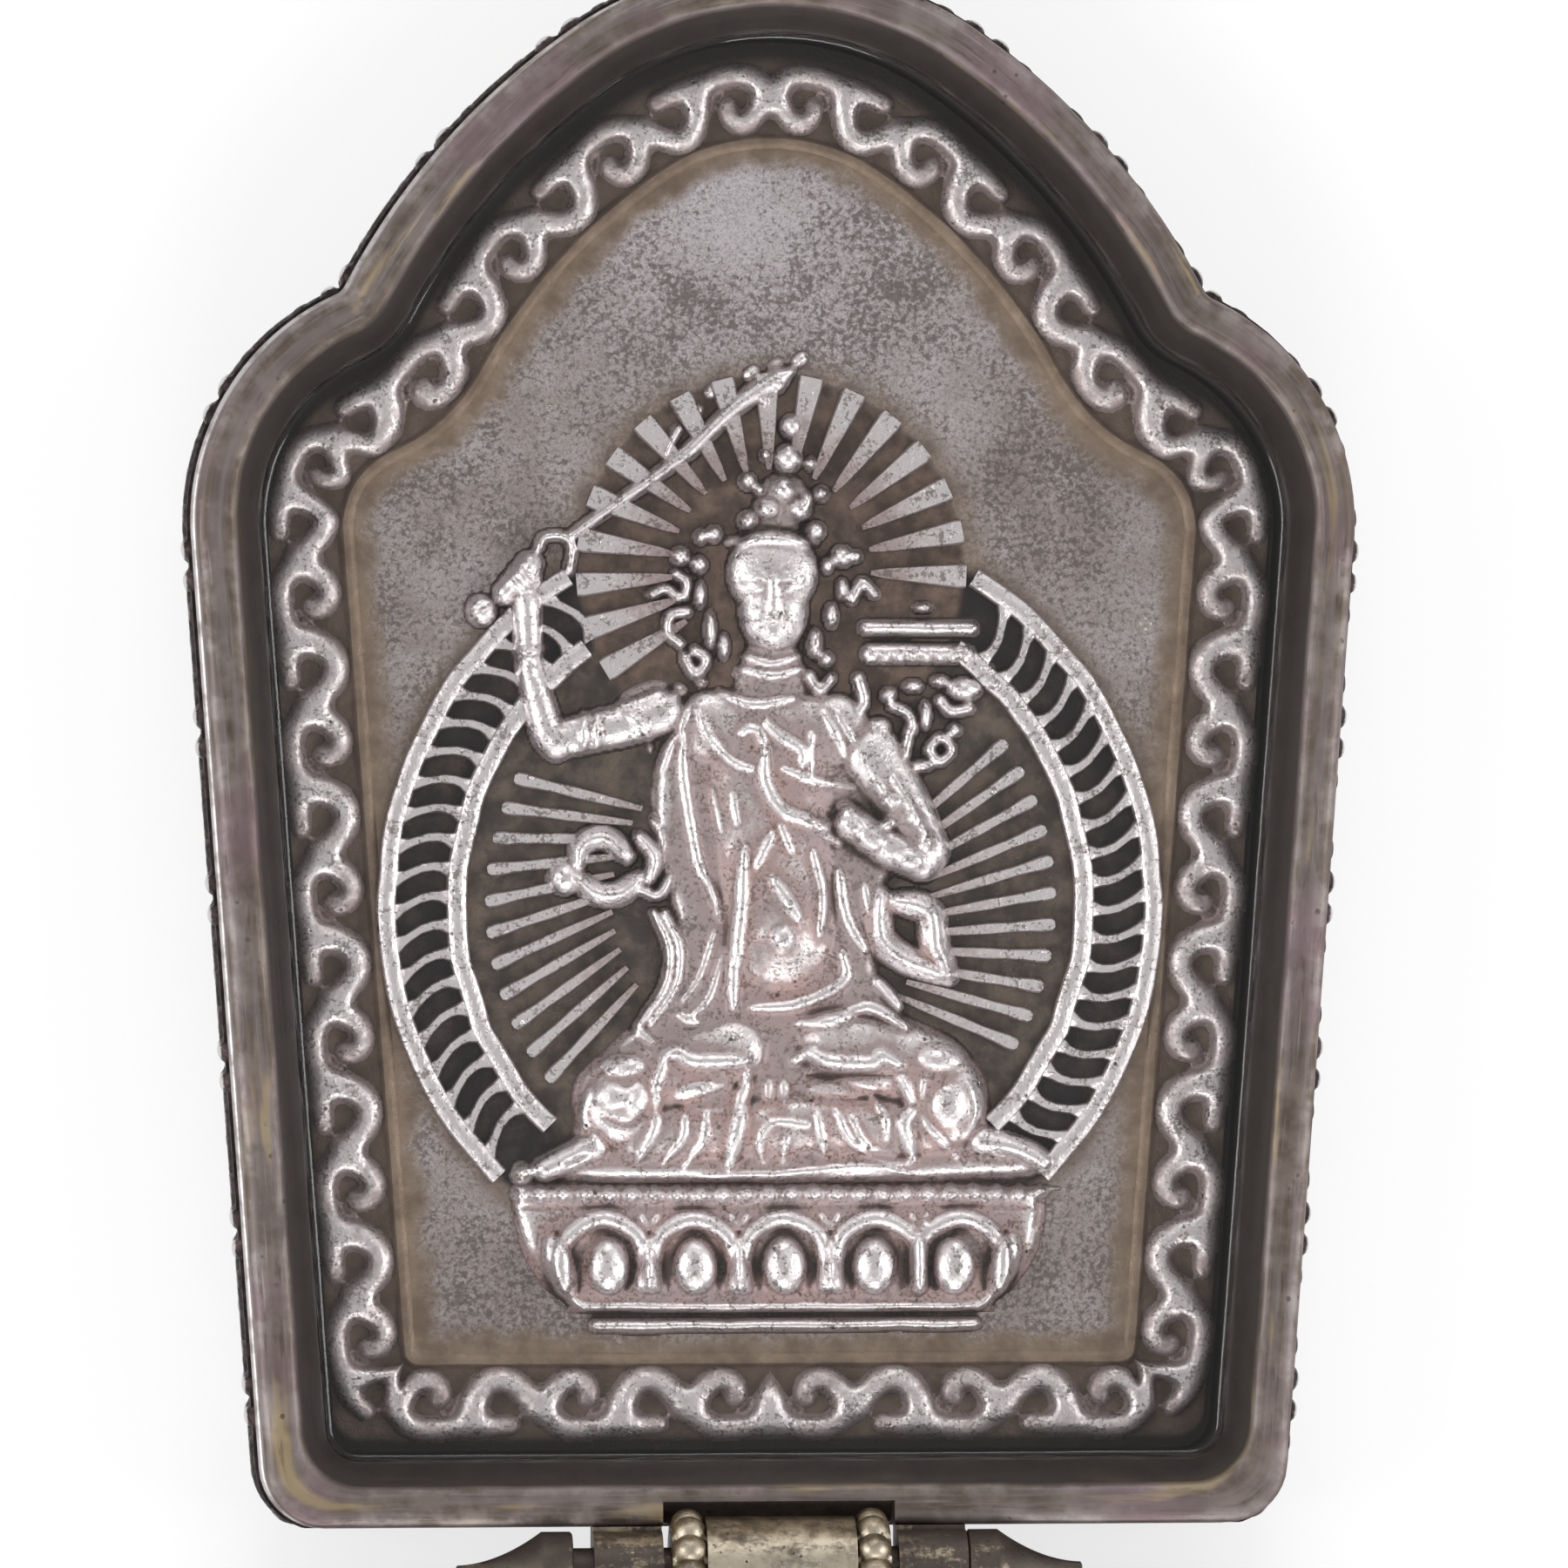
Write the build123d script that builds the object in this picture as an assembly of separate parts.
from build123d import *
import math
import os

# Ghau amulet box, lying open: two hollow halves joined by a pin hinge at the foot.
# Millimetres. X runs along the hinge pin, Y from the hinge to the crown of the half that
# holds the relief, Z up from the table. The hinge axis lies over the origin.

# Outline of each half, measured up from its foot wall
shoulder_half_width = 21.0
shoulder_height = 35.7
base_half_width = 18.4
cusp_half_width = 15.6
cusp_rise = 8.8
cusp_round = 0.8
crown_rise = 11.9
crown_radius = 12.6
crown_turn = 35.0
corner_radius = 2.2

# Walls of each half
shell_depth = 6.8
floor_thickness = 1.2
rim_land = 1.4
seat_width = 0.9
seat_depth = 1.2
rim_bevel = 0.3
foot_bevel = 0.6
panel_inset = 4.0
panel_depth = 0.45

# Lip that lines the cover and closes into the seat of the other half
lip_thickness = 0.6
lip_proud = 0.7
lip_overlap = 2.0

# Ornament strip round the walls, between two wires
band_base = 1.3
band_height = 3.0
band_proud = 0.35
wire_height = 0.5
wire_proud = 0.5

# Hinge
wall_standoff = 1.55
rim_gap = 0.1
pin_radius = 0.8
pin_clearance = 0.05
knuckle_radius = 1.4
knuckle_length = 2.5
barrel_length = 7.9
barrel_radius = 1.9
ring_width = 1.25
ring_radius = 2.2
ring_bead_radius = 0.58
ring_beads = 12
ring_bead_sides = 8
journal_radius = 1.35
hinge_side_gap = 0.3
notch_clearance = 0.25
ring_clearance = 0.05

# Pin ends, one drawn out to a horn on each side
pin_float = 0.7
finial_gap = 0.05
finial_radius = 1.4
collar_length = 1.1
taper_length = 3.1
steep_share = 0.4
taper_mid_radius = 0.7
tip_radius = 0.24
finial_socket = 0.9

# Cord tubes at the crown, one on the cover between two on the other half
tube_radius = 1.8
tube_bore_radius = 1.2
tube_standoff = 1.9
centre_tube_length = 4.0
outer_tube_length = 3.0
tube_gap = 0.3
saddle_reach = 1.6

# Relief plate and the clear resin over it
plate_clearance = 0.15
plate_thickness = 1.4
field_inset = 6.1
field_rise = 0.25
relief_root = 0.3
resin_below_rim = 1.8
resin_sheet = 0.5
resin_skirt = 0.7

# Running scroll border of the plate
border_inset = 3.85
border_start = 1.2
corner_room = 1.4
side_scrolls = 10
foot_scrolls = 3
scroll_height = 0.6
scroll_stroke = 0.6

# One wave of the border: share of its period along the path, strokes out from the path
wave_branch = (0.05, -0.35)
wave_rise = (0.09, -2.1)
wave_crest = (0.27, -2.5)
wave_foot = (0.62, 0.25)
wave_tail = (1.28, 0.1)
wave = (wave_branch, wave_rise, wave_crest, wave_foot, wave_tail)

# Halos
head_y = 36.2
head_halo_radius = 7.0
head_ray_inner = 3.4
head_rays = 28
head_ray_width = 0.75
head_ray_low_angle = -20.0
head_ray_high_angle = 200.0
body_y = 24.0
aureole_radius = 14.3
aureole_line = 0.75
aureole_gap = 1.7
aureole_bars = 68
aureole_bar_width = 0.45
aureole_low_angle = -44.0
aureole_high_angle = 58.0
ray_outer = 10.3
ray_inner = 6.6
ray_width = 0.45
body_rays = 56
halo_height = 0.35
ray_height = 0.3

# Lotus throne
throne_top_y = 13.1
throne_foot_y = 9.2
throne_top_half = 9.6
throne_foot_half = 6.9
throne_height = 0.9
petals = 5
petal_pitch = 3.2
petal_radius = 1.25
petal_length = 3.0
petal_height = 1.25
throne_beads = 24
throne_bead_radius = 0.32
throne_bead_height = 1.0
bead_sides = 6
foot_bar_y = 8.8
foot_bar_half = 6.9
foot_bar_width = 0.45

# Seated figure, as swelling limbs: end points, end radii and rise above the field, all in figure units
figure_unit = 1.0
torso = ((0.0, 19.6), (0.0, 28.6), 2.3, 2.9, 1.35)
head = ((0.0, 34.9), (0.0, 36.4), 1.55, 1.7, 1.5)
left_thigh = ((-1.4, 18.0), (-6.6, 16.7), 2.3, 2.0, 1.3)
right_thigh = ((1.4, 18.0), (6.9, 16.7), 2.3, 2.0, 1.3)
left_shin = ((-7.6, 15.4), (2.2, 15.4), 1.45, 1.25, 1.45)
right_shin = ((8.0, 15.7), (3.0, 14.8), 1.45, 1.2, 1.35)
raised_upper_arm = ((-2.2, 30.3), (-7.9, 29.8), 1.4, 1.05, 1.15)
raised_forearm = ((-7.8, 29.9), (-8.9, 34.4), 1.0, 0.8, 1.1)
lowered_upper_arm = ((2.4, 30.1), (5.8, 26.6), 1.4, 1.05, 1.15)
lowered_forearm = ((5.7, 26.7), (4.3, 25.2), 1.0, 0.85, 1.3)
limbs = (
    torso, head, left_thigh, right_thigh, left_shin, right_shin,
    raised_upper_arm, raised_forearm, lowered_upper_arm, lowered_forearm,
)

# Sides of a limb's sections, and the angles from its tip of those that round off an end
limb_sides = 8
cap_turns = (20.0, 50.0, 85.0)

# Leaf of the figure's crown
leaf_foot_y = 37.4
leaf_tip_y = 40.0
leaf_half_width = 1.3
leaf_height = 1.0

# What the figure holds: a sword from pommel to tip, and a book on an open flower
sword_pommel = (-10.5, 34.5)
sword_guard = (-7.9, 36.5)
sword_tip = (0.5, 43.1)
sword_width = 1.0
grip_width = 0.7
sword_height = 0.6
flower_x = 5.2
flower_y = 30.4
flower_radius = 1.9
flower_petals = 7
flower_height = 0.8
book_x = 5.2
book_y = 33.5
book_width = 3.8
book_length = 1.5
book_height = 0.7

# Places worked out from the sizes above
wall = rim_land + seat_width
cusp_height = shoulder_height + cusp_rise
box_height = cusp_height + crown_rise
axis_z = shell_depth + rim_gap / 2
crown_y = wall_standoff + box_height
tube_y = crown_y + tube_standoff
plate_top = floor_thickness + plate_thickness
field_top = plate_top + field_rise
resin_top = shell_depth - resin_below_rim
barrel_end = barrel_length / 2
knuckle_start = barrel_end + hinge_side_gap
knuckle_end = knuckle_start + knuckle_length
right_finial_x = knuckle_end + finial_gap
left_finial_x = -right_finial_x - pin_float
outer_tube_start = centre_tube_length / 2 + tube_gap


def tangent_centre(start, normal, through):
    """Centre and radius of the arc that leaves start square to normal and ends at through."""
    run = through - start
    radius = -run.dot(run) / (2 * run.dot(normal))
    return start - normal * radius, radius


def arc_between(centre, radius, start, end):
    """Arc about a centre from one point's direction to another's, the short way round."""
    low = math.degrees(math.atan2((start - centre).Y, (start - centre).X))
    high = math.degrees(math.atan2((end - centre).Y, (end - centre).X))
    turn = (high - low + 180) % 360 - 180
    return CenterArc((centre.X, centre.Y), radius, low, turn)


def outline(inset=0.0, corner=None):
    """Face inside the wall's outline, moved in by inset, with its foot corners rounded.

    Each half of the outline is a crown arc, a haunch, a rounded cusp, a shoulder lobe and a
    straight side. An inset keeps every centre and changes every radius.
    """
    turn = math.radians(crown_turn)
    crown_centre = Vector(0, crown_y - crown_radius)
    crown_out = Vector(math.sin(turn), math.cos(turn))
    crown_end = crown_centre + crown_out * crown_radius
    cusp = Vector(cusp_half_width, wall_standoff + cusp_height)
    shoulder = Vector(shoulder_half_width, wall_standoff + shoulder_height)
    base = Vector(base_half_width, wall_standoff)
    side_up = (shoulder - base).normalized()
    side_out = Vector(side_up.Y, -side_up.X)
    haunch_centre, haunch_radius = tangent_centre(crown_end, crown_out, cusp)
    lobe_centre, lobe_radius = tangent_centre(shoulder, side_out, cusp)

    # The cusp's round lies outside both arcs and touches each
    between = lobe_centre - haunch_centre
    haunch_reach = haunch_radius + cusp_round
    lobe_reach = lobe_radius + cusp_round
    along = (haunch_reach ** 2 - lobe_reach ** 2 + between.dot(between)) / (2 * between.length)
    aside = math.sqrt(haunch_reach ** 2 - along ** 2)
    across = Vector(-between.Y, between.X).normalized()
    cusp_centre = haunch_centre + between.normalized() * along + across * aside
    to_haunch = (cusp_centre - haunch_centre).normalized()
    to_lobe = (cusp_centre - lobe_centre).normalized()

    crown_to_haunch = crown_end - crown_out * inset
    haunch_to_cusp = haunch_centre + to_haunch * (haunch_radius - inset)
    cusp_to_lobe = lobe_centre + to_lobe * (lobe_radius - inset)
    lobe_to_side = shoulder - side_out * inset
    foot_y = wall_standoff + inset
    side_to_foot = lobe_to_side - side_up * ((lobe_to_side.Y - foot_y) / side_up.Y)
    right = [
        arc_between(haunch_centre, haunch_radius - inset, crown_to_haunch, haunch_to_cusp),
        arc_between(cusp_centre, cusp_round + inset, haunch_to_cusp, cusp_to_lobe),
        arc_between(lobe_centre, lobe_radius - inset, cusp_to_lobe, lobe_to_side),
        Line(lobe_to_side, side_to_foot),
    ]
    left = [mirror(edge, about=Plane.YZ) for edge in right]
    crown = CenterArc((0, crown_centre.Y), crown_radius - inset, 90 - crown_turn, 2 * crown_turn)
    foot = Line(side_to_foot, (-side_to_foot.X, side_to_foot.Y))
    face = make_face([crown, *right, foot, *left])
    corners = face.vertices().group_by(Axis.Y)[0]
    return fillet(corners, corner_radius if corner is None else corner)


def slab(inset, low, high, corner=None):
    """Plate of the inset outline between two heights."""
    return Pos(0, 0, low) * extrude(outline(inset, corner), high - low)


def along_x(profile, start, end, y, z):
    """Extrude a profile drawn in Y and Z from x = start to x = end."""
    plane = Plane(origin=(start, y, z), x_dir=(0, 1, 0), z_dir=(1, 0, 0))
    return extrude(plane * profile, end - start)


def hinge_cylinder(radius, half_length):
    """Cylinder on the hinge axis, centred on the origin's plane."""
    return along_x(Circle(radius), -half_length, half_length, 0, axis_z)


def other_half(solid):
    """The same piece on the cover's side of the hinge."""
    return mirror(solid, about=Plane.XZ)


inner_corner = corner_radius - seat_width
hinge_notch = hinge_cylinder(ring_radius + notch_clearance, barrel_end + notch_clearance)


def hollow_half(seated):
    """Tray with a flat rim, a bevelled foot, a sunk panel outside and, if seated, a sloping mouth."""
    body = extrude(outline(), shell_depth) - slab(wall, floor_thickness, shell_depth, inner_corner)
    if seated:
        rim = body.faces().sort_by(Axis.Z)[-1]
        body = chamfer(rim.inner_wires()[0].edges(), seat_width, seat_depth, reference=rim)
    rim = body.faces().sort_by(Axis.Z)[-1]
    body = chamfer(rim.outer_wire().edges(), rim_bevel)
    foot = body.faces().sort_by(Axis.Z)[0]
    body = chamfer(foot.outer_wire().edges(), foot_bevel)
    return body - slab(panel_inset, 0, panel_depth)


def rear_shell():
    """Half that holds the relief: its rim has a sloping seat and a notch for the barrel."""
    return hollow_half(seated=True) - hinge_notch


def cover_shell():
    """Plain half, with a groove in its foot wall for the barrel and its two rings."""
    groove = hinge_cylinder(barrel_radius, barrel_end - ring_width)
    ring_reach = barrel_end + ring_clearance
    ring_groove = hinge_cylinder(ring_radius + ring_clearance, ring_reach)
    ring_groove -= hinge_cylinder(ring_radius + notch_clearance, barrel_end - ring_width)
    return hollow_half(seated=False) - groove - ring_groove


def closing_lip():
    """Strip inside the cover's wall that stands proud of its rim."""
    low = shell_depth - lip_overlap
    high = shell_depth + lip_proud
    lip_corner = inner_corner - lip_thickness
    ring = slab(wall, low, high, inner_corner) - slab(wall + lip_thickness, low, high, lip_corner)
    return ring


def wall_strip(proud, low, high):
    """Strip round the outside of the wall, cut clear of the hinge barrel."""
    outer = slab(-proud, low, high, corner_radius + proud)
    return outer - slab(0, low, high) - hinge_notch


def side_band():
    return wall_strip(band_proud, band_base, band_base + band_height)


def lower_wire():
    return wall_strip(wire_proud, band_base - wire_height, band_base)


def upper_wire():
    top = band_base + band_height
    return wall_strip(wire_proud, top, top + wire_height)


def hinge_knuckle(start):
    """Tube with a saddle block back to the foot wall, below the plane of the rim."""
    drop = rim_gap / 2
    block = Rectangle(wall_standoff, knuckle_radius - drop, align=(Align.MIN, Align.MAX))
    profile = Circle(knuckle_radius) + Pos(0, -drop) * block
    profile -= Circle(pin_radius + pin_clearance)
    return along_x(profile, start, start + knuckle_length, 0, axis_z)


def hinge_barrel():
    """Barrel turned down at both ends to take the beaded rings."""
    barrel = hinge_cylinder(barrel_radius, barrel_end - ring_width)
    barrel += hinge_cylinder(journal_radius, barrel_end)
    return barrel - hinge_cylinder(pin_radius + pin_clearance, barrel_end)


def barrel_ring(start):
    """Collar with a ring of beads round it, seated on the barrel's turned-down end."""
    bead_circle = ring_radius - ring_bead_radius
    bead = RegularPolygon(ring_bead_radius, ring_bead_sides)
    beads = PolarLocations(bead_circle, ring_beads) * bead
    profile = Circle(bead_circle) + beads - Circle(journal_radius)
    return along_x(profile, start, start + ring_width, 0, axis_z)


def hinge_pin():
    low = left_finial_x - finial_socket
    high = right_finial_x + finial_socket
    return along_x(Circle(pin_radius), low, high, 0, axis_z)


def pin_finial():
    """Horn on the pin's right end: a collar, then a steep and a slender taper to a blunt tip."""
    end = collar_length + taper_length
    profile = Polygon(
        (0, 0), (0, finial_radius), (collar_length, finial_radius),
        (collar_length + taper_length * steep_share, taper_mid_radius),
        (end, tip_radius), (end, 0), align=None)
    horn = revolve(profile, axis=Axis.X)
    socket = along_x(Circle(pin_radius), 0, finial_socket, 0, 0)
    return horn - socket


def right_finial():
    return Pos(right_finial_x, 0, axis_z) * pin_finial()


def left_finial():
    return Pos(left_finial_x, 0, axis_z) * mirror(pin_finial(), about=Plane.YZ)


def cord_tube(start, length):
    """Tube beyond the crown with a saddle block that fits the curved wall."""
    drop = rim_gap / 2
    reach = tube_standoff + saddle_reach
    block = Rectangle(reach, tube_radius - drop, align=(Align.MAX, Align.MAX))
    profile = Circle(tube_radius) + Pos(0, -drop) * block
    profile -= Circle(tube_bore_radius)
    return along_x(profile, start, start + length, tube_y, axis_z) - slab(0, 0, shell_depth)


def bar(start, end, width):
    """Flat bar from one point to the other."""
    run = Vector(*end) - Vector(*start)
    centre = (Vector(*start) + Vector(*end)) * 0.5
    angle = math.degrees(math.atan2(run.Y, run.X))
    return Location((centre.X, centre.Y, 0), (0, 0, angle)) * Rectangle(run.length, width)


def stroke(points, width):
    """Flat line of even width through the points, with mitred bends and square ends."""
    points = [Vector(*point) for point in points]
    runs = [(after - before).normalized() for before, after in zip(points, points[1:])]
    left = []
    right = []
    for number, point in enumerate(points):
        before = runs[max(number - 1, 0)]
        after = runs[min(number, len(runs) - 1)]
        across = Vector(-before.Y - after.Y, before.X + after.X).normalized()
        reach = width / 2 / across.dot(Vector(-after.Y, after.X))
        left.append(point + across * reach)
        right.append(point - across * reach)
    outline_points = [(point.X, point.Y) for point in left + right[::-1]]
    return Polygon(*outline_points, align=None)


def sector(radius, width, low, high):
    """Part of a ring of mid radius and width, between two angles in degrees."""
    outer = radius + width / 2
    inner = radius - width / 2
    middle = (low + high) / 2

    def at(reach, angle):
        turn = math.radians(angle)
        return (reach * math.cos(turn), reach * math.sin(turn))

    edges = [
        ThreePointArc(at(outer, low), at(outer, middle), at(outer, high)),
        Line(at(outer, high), at(inner, high)),
        ThreePointArc(at(inner, high), at(inner, middle), at(inner, low)),
        Line(at(inner, low), at(outer, low)),
    ]
    return make_face(edges)


def scroll_border():
    """Scroll strokes of the right half of the border: down the side, then in along the foot."""
    path = outline(border_inset, inner_corner).faces()[0].outer_wire()
    crown_at = path.param_at_point((0, crown_y - border_inset))
    sample = path.position_at((crown_at + border_start / path.length) % 1.0)
    sense = 1 if sample.X > 0 else -1
    foot_run = base_half_width - border_inset - corner_radius
    side_run = path.length / 2 - foot_run

    def place(along, out):
        turn = (crown_at + sense * along / path.length) % 1.0
        tangent = path.tangent_at(turn) * sense
        spot = path.position_at(turn) + Vector(-tangent.Y, tangent.X, 0) * out
        return (spot.X, spot.Y)

    def units(first, run, count):
        period = run / count
        starts = [first + number * period for number in range(count)]
        return [
            stroke([place(start + share * period, out * scroll_stroke) for share, out in wave], scroll_stroke)
            for start in starts
        ]

    side = units(border_start, side_run - border_start - corner_room, side_scrolls)
    foot = units(side_run, foot_run - border_start, foot_scrolls)
    return side + foot


def ring_arc(radius, width):
    """Right-hand run of an aureole line."""
    return sector(radius - width / 2, width, aureole_low_angle, aureole_high_angle)


def spokes(count, inner, outer, width, low, high):
    """Bars that point out from a centre, between two angles in degrees."""
    shapes = []
    pitch = 360.0 / count
    for number in range(math.ceil(low / pitch), math.floor(high / pitch) + 1):
        turn = math.radians(number * pitch)
        start = (inner * math.cos(turn), inner * math.sin(turn))
        end = (outer * math.cos(turn), outer * math.sin(turn))
        shapes.append(bar(start, end, width))
    return shapes


def both_sides(shapes):
    return list(shapes) + [mirror(shape, about=Plane.YZ) for shape in shapes]


def raised(shapes, low, height):
    """Flat shapes raised together from a height, and rooted in the plate below it."""
    sheet = Sketch() + shapes
    return Pos(0, 0, low - relief_root) * extrude(sheet, height + relief_root, dir=(0, 0, 1))


def halos():
    """Aureole lines and bars, body rays and the rays of the head halo."""
    inner_line = aureole_radius - aureole_line - aureole_gap
    lines = [ring_arc(aureole_radius, aureole_line), ring_arc(inner_line, aureole_line)]
    bar_inner = inner_line - aureole_line / 2
    bar_outer = aureole_radius - aureole_line / 2
    span = (aureole_low_angle, aureole_high_angle)
    bars = spokes(aureole_bars, bar_inner, bar_outer, aureole_bar_width, *span)
    rays = spokes(body_rays, ray_inner, ray_outer, ray_width, *span)
    around_body = [Pos(0, body_y) * shape for shape in both_sides(lines + bars)]
    body_ray_shapes = [Pos(0, body_y) * shape for shape in both_sides(rays)]
    head_span = (head_ray_low_angle, head_ray_high_angle)
    head_shapes = spokes(head_rays, head_ray_inner, head_halo_radius, head_ray_width, *head_span)
    around_head = [Pos(0, head_y) * shape for shape in head_shapes]
    return [
        raised(around_body, field_top, halo_height),
        raised(body_ray_shapes, field_top, ray_height),
        raised(around_head, field_top, halo_height + ray_height),
    ]


def lotus_throne():
    """Tapered block with a row of petals, a row of beads on top and a bar at its foot."""
    block_points = [
        (-throne_top_half, throne_top_y), (throne_top_half, throne_top_y),
        (throne_foot_half, throne_foot_y), (-throne_foot_half, throne_foot_y),
    ]
    solids = [raised([Polygon(*block_points, align=None)], field_top, throne_height)]
    for number in range(petals):
        x = (number - (petals - 1) / 2) * petal_pitch
        petal = SlotOverall(petal_length + petal_radius, 2 * petal_radius, rotation=90)
        y = throne_top_y - petal_length / 2 - petal_radius / 2
        solids.append(raised([Pos(x, y) * petal], field_top, petal_height))
    bead_pitch = 2 * throne_top_half / throne_beads
    for number in range(throne_beads):
        x = -throne_top_half + (number + 0.5) * bead_pitch
        bead = Pos(x, throne_top_y + throne_bead_radius) * RegularPolygon(throne_bead_radius, bead_sides)
        solids.append(raised([bead], field_top, throne_bead_height))
    foot_bar = Pos(0, foot_bar_y) * Rectangle(2 * foot_bar_half, foot_bar_width)
    solids.append(raised([foot_bar], field_top, halo_height))
    return solids


def limb(start, end, start_radius, end_radius, rise):
    """Swelling limb between two points of the field: many-sided sections, smaller toward each rounded end."""
    low = Vector(*start, rise - start_radius) * figure_unit
    high = Vector(*end, rise - end_radius) * figure_unit
    along = (high - low).normalized()
    sideways = Vector(0, 0, 1).cross(along)

    def section(centre, radius, sense, turn):
        reach = radius * figure_unit
        spot = centre - along * (sense * reach * math.cos(turn)) + Vector(0, 0, field_top)
        plane = Plane(origin=spot, x_dir=sideways, z_dir=along)
        return plane * RegularPolygon(reach * math.sin(turn), limb_sides)

    turns = [math.radians(turn) for turn in cap_turns]
    sections = [section(low, start_radius, 1, turn) for turn in turns]
    sections += [section(high, end_radius, -1, turn) for turn in reversed(turns)]
    return loft(sections, ruled=True)


def figure():
    """Seated figure with its sword, and the book on its flower, all standing on the field."""
    above = Pos(0, crown_y / 2, field_top - relief_root) * Box(
        2 * shoulder_half_width, crown_y, shell_depth, align=(Align.CENTER, Align.CENTER, Align.MIN))
    body = [limb(*spec) & above for spec in limbs]
    sword = [bar(sword_pommel, sword_guard, grip_width), bar(sword_guard, sword_tip, sword_width)]
    leaf_foot = (leaf_half_width, leaf_foot_y)
    leaf = Polygon(leaf_foot, (0, leaf_tip_y), (-leaf_half_width, leaf_foot_y), align=None)
    bloom = Pos(flower_x, flower_y) * RegularPolygon(flower_radius, flower_petals)
    book = Pos(book_x, book_y) * Rectangle(book_width, book_length)
    held = [
        raised([leaf], field_top, leaf_height),
        raised(sword, field_top, sword_height),
        raised([bloom], field_top, flower_height),
        raised([book], field_top, book_height),
    ]
    return body + held


def relief_plate():
    """Plate with its raised field, border scrolls, halos, throne and figure."""
    edge = wall + plate_clearance
    plate = slab(edge, floor_thickness, plate_top, inner_corner)
    field = slab(field_inset, plate_top - relief_root, field_top, inner_corner)
    scrolls = raised(both_sides(scroll_border()), plate_top, scroll_height)
    for piece in [field, scrolls, *halos(), *lotus_throne(), *figure()]:
        plate += piece
    return plate


def clear_resin():
    """Clear layer over the plate: a skirt on the plate's margin and a sheet above the relief."""
    layer = slab(wall, plate_top, resin_top, inner_corner)
    return layer - slab(wall + resin_skirt, plate_top, resin_top - resin_sheet, inner_corner)


nodes = {
    "rear_shell": rear_shell(),
    "relief_plate": relief_plate(),
    "clear_resin": clear_resin(),
    "rear_side_band": side_band(),
    "rear_upper_wire": upper_wire(),
    "rear_lower_wire": lower_wire(),
    "left_hinge_knuckle": hinge_knuckle(-knuckle_end),
    "right_hinge_knuckle": hinge_knuckle(knuckle_start),
    "left_cord_tube": cord_tube(-outer_tube_start - outer_tube_length, outer_tube_length),
    "right_cord_tube": cord_tube(outer_tube_start, outer_tube_length),
    "hinge_pin": hinge_pin(),
    "left_pin_finial": left_finial(),
    "right_pin_finial": right_finial(),
    "cover_shell": other_half(cover_shell()),
    "closing_lip": other_half(closing_lip()),
    "cover_side_band": other_half(side_band()),
    "cover_upper_wire": other_half(upper_wire()),
    "cover_lower_wire": other_half(lower_wire()),
    "hinge_barrel": hinge_barrel(),
    "left_barrel_ring": barrel_ring(-barrel_end),
    "right_barrel_ring": barrel_ring(barrel_end - ring_width),
    "cover_cord_tube": other_half(cord_tube(-centre_tube_length / 2, centre_tube_length)),
}

os.makedirs("parts", exist_ok=True)
for name, solid in nodes.items():
    export_step(solid, f"parts/{name}.step")
